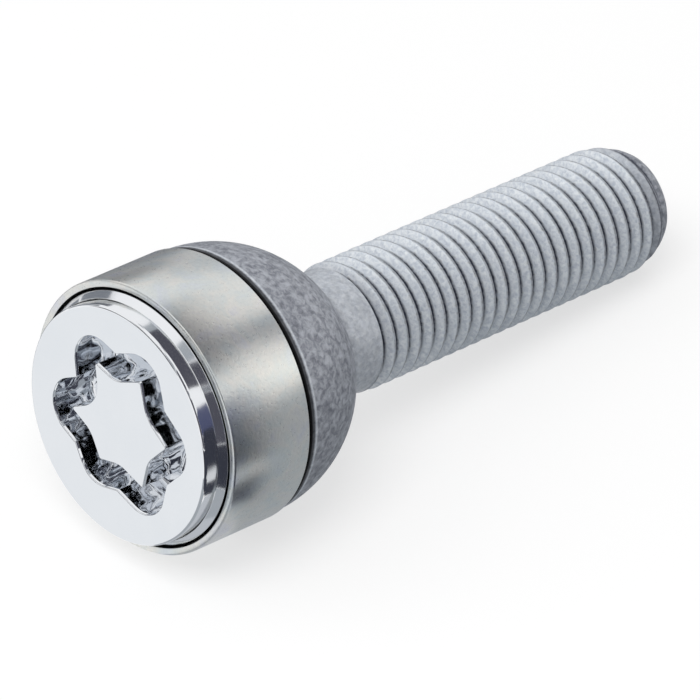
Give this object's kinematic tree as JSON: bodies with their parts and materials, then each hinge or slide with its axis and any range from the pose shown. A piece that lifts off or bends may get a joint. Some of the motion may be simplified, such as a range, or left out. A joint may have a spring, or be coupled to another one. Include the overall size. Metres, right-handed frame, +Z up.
{
  "type": "wheel bolt",
  "caption": "Locking wheel bolt with a wavy key groove in its round head, a collar that turns freely on the head, a ball seat and a metric thread.",
  "frame": {"origin": "on the surface that the bolt lies on, under the middle of its box", "axes": "+Z up, and +Y level from the head towards the tip. The bolt lies on the rear edge of its collar and ball and on its point, so its own axis slopes down towards the tip"},
  "size_m": [0.0244, 0.063, 0.0253],
  "materials": {
    "bolt_zinc": "matte",
    "head_chrome": "polished",
    "collar_zinc": "satin",
    "spring_steel": "satin"
  },
  "bodies": {
    "bolt": {"bolt_body": "bolt_zinc", "retaining_ring": "spring_steel"},
    "spin_collar": {"collar": "collar_zinc"}
  },
  "joints": [
    {"name": "collar_spin", "type": "hinge", "parent": "bolt", "child": "spin_collar", "pos_m": [0, -0.02384, 0.01265], "axis": [0, 0.9912, -0.1325], "continuous": true}
  ]
}
